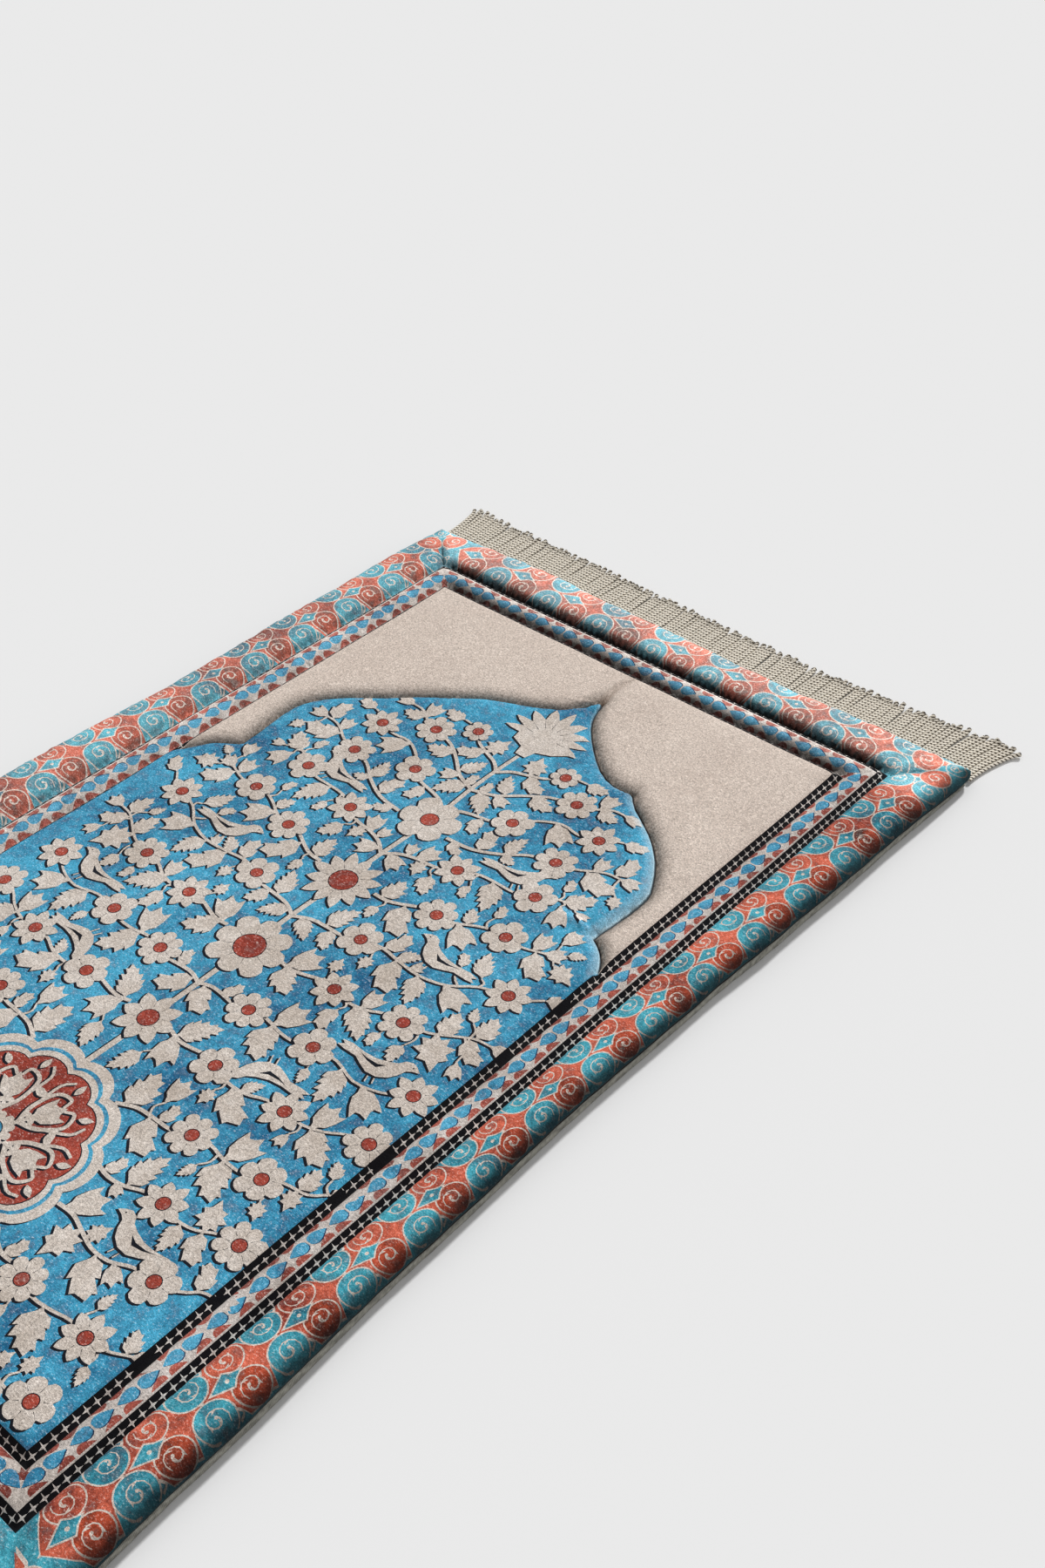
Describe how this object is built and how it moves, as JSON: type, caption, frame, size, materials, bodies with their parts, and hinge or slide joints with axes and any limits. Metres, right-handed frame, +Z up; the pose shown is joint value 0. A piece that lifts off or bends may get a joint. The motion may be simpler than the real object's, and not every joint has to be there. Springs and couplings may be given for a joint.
{
  "type": "prayer rug",
  "caption": "Padded prayer rug with a quilted, printed pile face, an arch-shaped seam, a turned-up backing cloth and a corded fringe at each end.",
  "frame": {"origin": "on the floor, under the middle of the rug with its fringes", "axes": "+X across the rug to the right, +Y along it to the head, the end that the arch points to, +Z up"},
  "size_m": [0.7208, 1.2646, 0.0258],
  "materials": {
    "printed_pile": "short velour pile, printed in blue, cream, rust and black, matt with a soft sheen",
    "backing_cloth": "plain grey-green woven cloth, matt",
    "fringe_cord": "cream to olive twisted cord, slightly shiny"
  },
  "bodies": {
    "root": {"mat": "printed_pile", "backing": "backing_cloth", "fringe_head": "fringe_cord", "fringe_foot": "fringe_cord"}
  },
  "joints": []
}
